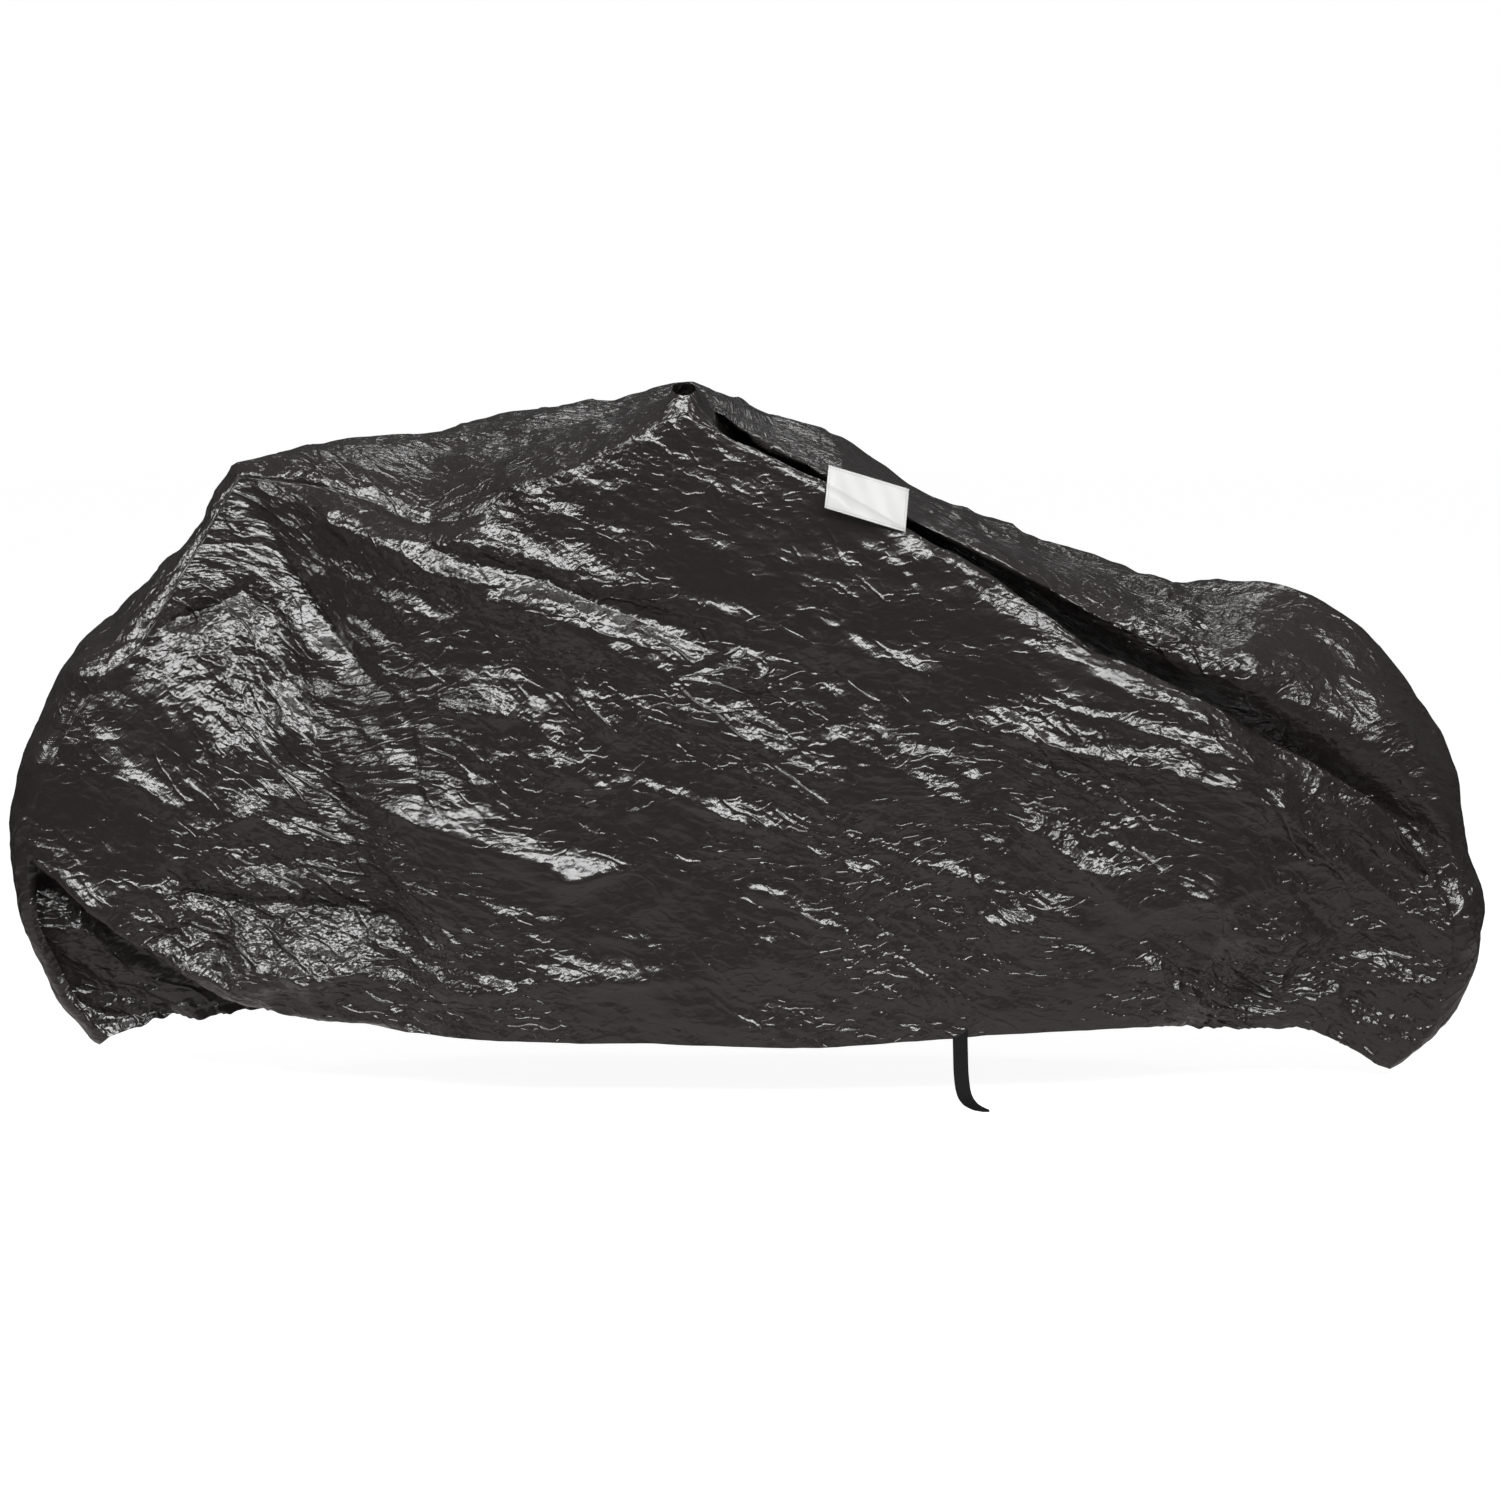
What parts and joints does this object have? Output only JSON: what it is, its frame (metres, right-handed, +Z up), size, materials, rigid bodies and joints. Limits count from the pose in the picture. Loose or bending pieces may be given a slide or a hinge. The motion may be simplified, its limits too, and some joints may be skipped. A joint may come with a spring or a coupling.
{
  "type": "bicycle cover",
  "caption": "Fitted cover for a long bicycle: one draped sheet of coated woven cloth, hollow below, drawn in at its hem round both tyres, with a sewn label and a webbing tie.",
  "frame": {"origin": "the point under the top of the cover that rests on the handlebar, in the centre plane", "axes": "+X to the front of the bicycle, +Z up, +Y to the far side of the picture"},
  "size_m": [2.448, 0.6945, 1.1503],
  "materials": {
    "cover_cloth": "crumpled woven tape cloth with a glossy coating",
    "label_cloth": "smooth matt white label cloth, left plain",
    "tie_webbing": "matt woven webbing"
  },
  "bodies": {
    "root": {"cover_sheet": "cover_cloth", "label_patch": "label_cloth", "tie_webbing": "tie_webbing"}
  },
  "joints": []
}
